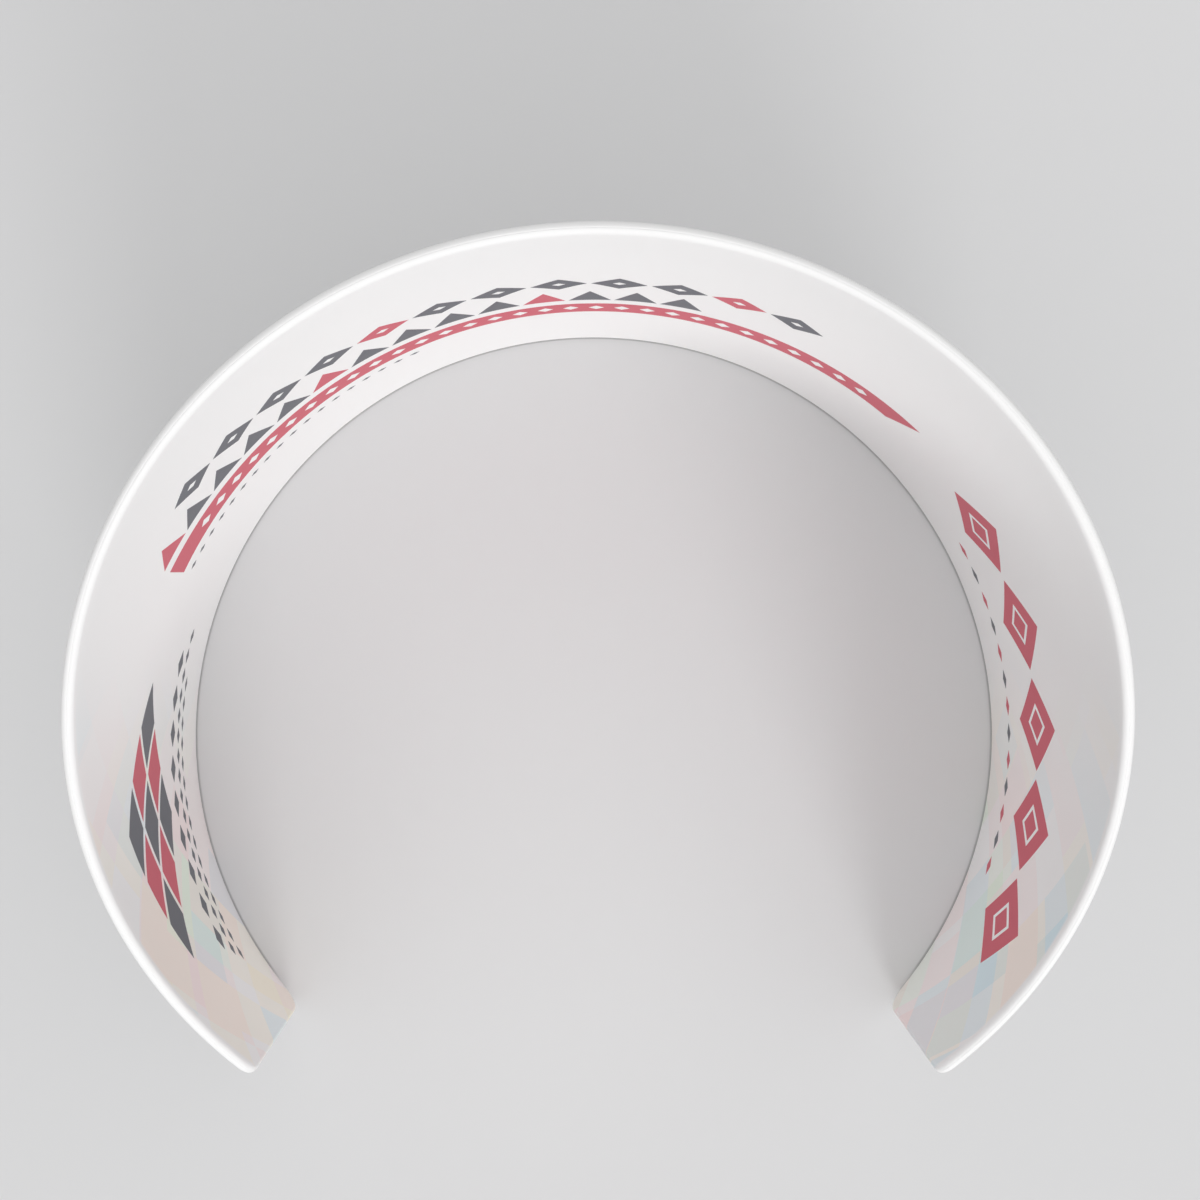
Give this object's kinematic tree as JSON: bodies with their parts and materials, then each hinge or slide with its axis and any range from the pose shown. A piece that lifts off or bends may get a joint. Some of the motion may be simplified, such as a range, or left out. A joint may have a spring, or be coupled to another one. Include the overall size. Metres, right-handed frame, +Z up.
{
  "type": "curved banner booth",
  "caption": "Free-standing C-shaped booth wall: a white stretch-fabric cover with a rounded rim that falls to both ends, over a frame of round aluminium tube, with a zipper along the foot.",
  "frame": {"origin": "on the floor under the middle of the booth, at the bottom centre of its box", "axes": "+Z up, +Y towards the high back of the wall, the open side faces -Y"},
  "size_m": [3.075, 2.5671, 2.3],
  "materials": {
    "fabric_print": "matte knitted polyester, printed",
    "fabric_plain": "matte knitted polyester",
    "tube": "satin drawn tube",
    "socket": "satin",
    "button": "polished",
    "spring": "satin",
    "rivet": "satin",
    "zipper_tape": "woven",
    "zipper_row": "satin",
    "zipper_metal": "polished"
  },
  "bodies": {
    "booth": {"front_panel": "fabric_print", "back_panel": "fabric_plain", "bottom_rail_1": "tube", "bottom_rail_2": "tube", "bottom_rail_3": "tube", "bottom_rail_4": "tube", "bottom_rail_5": "tube", "top_rail_1": "tube", "top_rail_2": "tube", "top_rail_3": "tube", "top_rail_4": "tube", "top_rail_5": "tube", "end_tube_right": "tube", "end_tube_left": "tube", "upright_lower_1": "tube", "upright_lower_2": "tube", "upright_lower_3": "tube", "upright_lower_4": "tube", "upright_lower_5": "tube", "upright_upper_1": "tube", "upright_upper_2": "tube", "upright_upper_3": "tube", "upright_upper_4": "tube", "upright_upper_5": "tube", "foot_sockets": "socket", "head_sockets": "socket", "bottom_spigots": "socket", "top_spigots": "socket", "upright_spigots": "socket", "button_clips": "spring", "spigot_rivets": "rivet", "zipper_upper_tape": "zipper_tape", "zipper_lower_tape": "zipper_tape", "zipper_upper_row": "zipper_row", "zipper_lower_row": "zipper_row", "zipper_stops": "zipper_metal"},
    "bottom_button_1": {"bottom_button_1": "button"},
    "bottom_button_2": {"bottom_button_2": "button"},
    "bottom_button_3": {"bottom_button_3": "button"},
    "bottom_button_4": {"bottom_button_4": "button"},
    "bottom_button_5": {"bottom_button_5": "button"},
    "bottom_button_6": {"bottom_button_6": "button"},
    "top_button_1": {"top_button_1": "button"},
    "top_button_2": {"top_button_2": "button"},
    "top_button_3": {"top_button_3": "button"},
    "top_button_4": {"top_button_4": "button"},
    "top_button_5": {"top_button_5": "button"},
    "top_button_6": {"top_button_6": "button"},
    "upright_button_1": {"upright_button_1": "button"},
    "upright_button_2": {"upright_button_2": "button"},
    "upright_button_3": {"upright_button_3": "button"},
    "upright_button_4": {"upright_button_4": "button"},
    "upright_button_5": {"upright_button_5": "button"},
    "zipper_slider": {"zipper_slider": "zipper_metal"},
    "zipper_pull": {"zipper_pull": "zipper_metal"}
  },
  "joints": [
    {"name": "bottom_button_1_press", "type": "slide", "parent": "booth", "child": "bottom_button_1", "axis": [0, 0, -1], "range_m": [0, 0.00485], "stiffness_N_per_m": 1500, "springref_m": -0.002},
    {"name": "bottom_button_2_press", "type": "slide", "parent": "booth", "child": "bottom_button_2", "axis": [0, 0, -1], "range_m": [0, 0.00485], "stiffness_N_per_m": 1500, "springref_m": -0.002},
    {"name": "bottom_button_3_press", "type": "slide", "parent": "booth", "child": "bottom_button_3", "axis": [0, 0, -1], "range_m": [0, 0.00485], "stiffness_N_per_m": 1500, "springref_m": -0.002},
    {"name": "bottom_button_4_press", "type": "slide", "parent": "booth", "child": "bottom_button_4", "axis": [0, 0, -1], "range_m": [0, 0.00485], "stiffness_N_per_m": 1500, "springref_m": -0.002},
    {"name": "bottom_button_5_press", "type": "slide", "parent": "booth", "child": "bottom_button_5", "axis": [0, 0, -1], "range_m": [0, 0.00485], "stiffness_N_per_m": 1500, "springref_m": -0.002},
    {"name": "bottom_button_6_press", "type": "slide", "parent": "booth", "child": "bottom_button_6", "axis": [0, 0, -1], "range_m": [0, 0.00485], "stiffness_N_per_m": 1500, "springref_m": -0.002},
    {"name": "top_button_1_press", "type": "slide", "parent": "booth", "child": "top_button_1", "axis": [-0.3128, -0.4796, 0.8198], "range_m": [0, 0.00485], "stiffness_N_per_m": 1500, "springref_m": -0.002},
    {"name": "top_button_2_press", "type": "slide", "parent": "booth", "child": "top_button_2", "axis": [0.1131, -0.3795, 0.9182], "range_m": [0, 0.00485], "stiffness_N_per_m": 1500, "springref_m": -0.002},
    {"name": "top_button_3_press", "type": "slide", "parent": "booth", "child": "top_button_3", "axis": [0.0585, -0.0258, 0.998], "range_m": [0, 0.00485], "stiffness_N_per_m": 1500, "springref_m": -0.002},
    {"name": "top_button_4_press", "type": "slide", "parent": "booth", "child": "top_button_4", "axis": [-0.0667, -0.0332, 0.9972], "range_m": [0, 0.00485], "stiffness_N_per_m": 1500, "springref_m": -0.002},
    {"name": "top_button_5_press", "type": "slide", "parent": "booth", "child": "top_button_5", "axis": [-0.1014, -0.401, 0.9104], "range_m": [0, 0.00485], "stiffness_N_per_m": 1500, "springref_m": -0.002},
    {"name": "top_button_6_press", "type": "slide", "parent": "booth", "child": "top_button_6", "axis": [0.3291, -0.4652, 0.8218], "range_m": [0, 0.00485], "stiffness_N_per_m": 1500, "springref_m": -0.002},
    {"name": "upright_button_1_press", "type": "slide", "parent": "booth", "child": "upright_button_1", "axis": [-0.1627, -0.9867, 0], "range_m": [0, 0.00455], "stiffness_N_per_m": 1500, "springref_m": -0.002},
    {"name": "upright_button_2_press", "type": "slide", "parent": "booth", "child": "upright_button_2", "axis": [0.647, -0.7625, 0], "range_m": [0, 0.00455], "stiffness_N_per_m": 1500, "springref_m": -0.002},
    {"name": "upright_button_3_press", "type": "slide", "parent": "booth", "child": "upright_button_3", "axis": [1, 0, 0], "range_m": [0, 0.00455], "stiffness_N_per_m": 1500, "springref_m": -0.002},
    {"name": "upright_button_4_press", "type": "slide", "parent": "booth", "child": "upright_button_4", "axis": [0.647, 0.7625, 0], "range_m": [0, 0.00455], "stiffness_N_per_m": 1500, "springref_m": -0.002},
    {"name": "upright_button_5_press", "type": "slide", "parent": "booth", "child": "upright_button_5", "axis": [-0.1627, 0.9867, 0], "range_m": [0, 0.00455], "stiffness_N_per_m": 1500, "springref_m": -0.002},
    {"name": "slider_run", "type": "hinge", "parent": "booth", "child": "zipper_slider", "pos_m": [0, -0.25433, 0.064], "axis": [0, 0, 1], "range_deg": [0, 247.35]},
    {"name": "pull_swing", "type": "hinge", "parent": "zipper_slider", "child": "zipper_pull", "pos_m": [1.28234, -1.10867, 0.064], "axis": [0, 0, -1], "range_deg": [0, 175]}
  ]
}
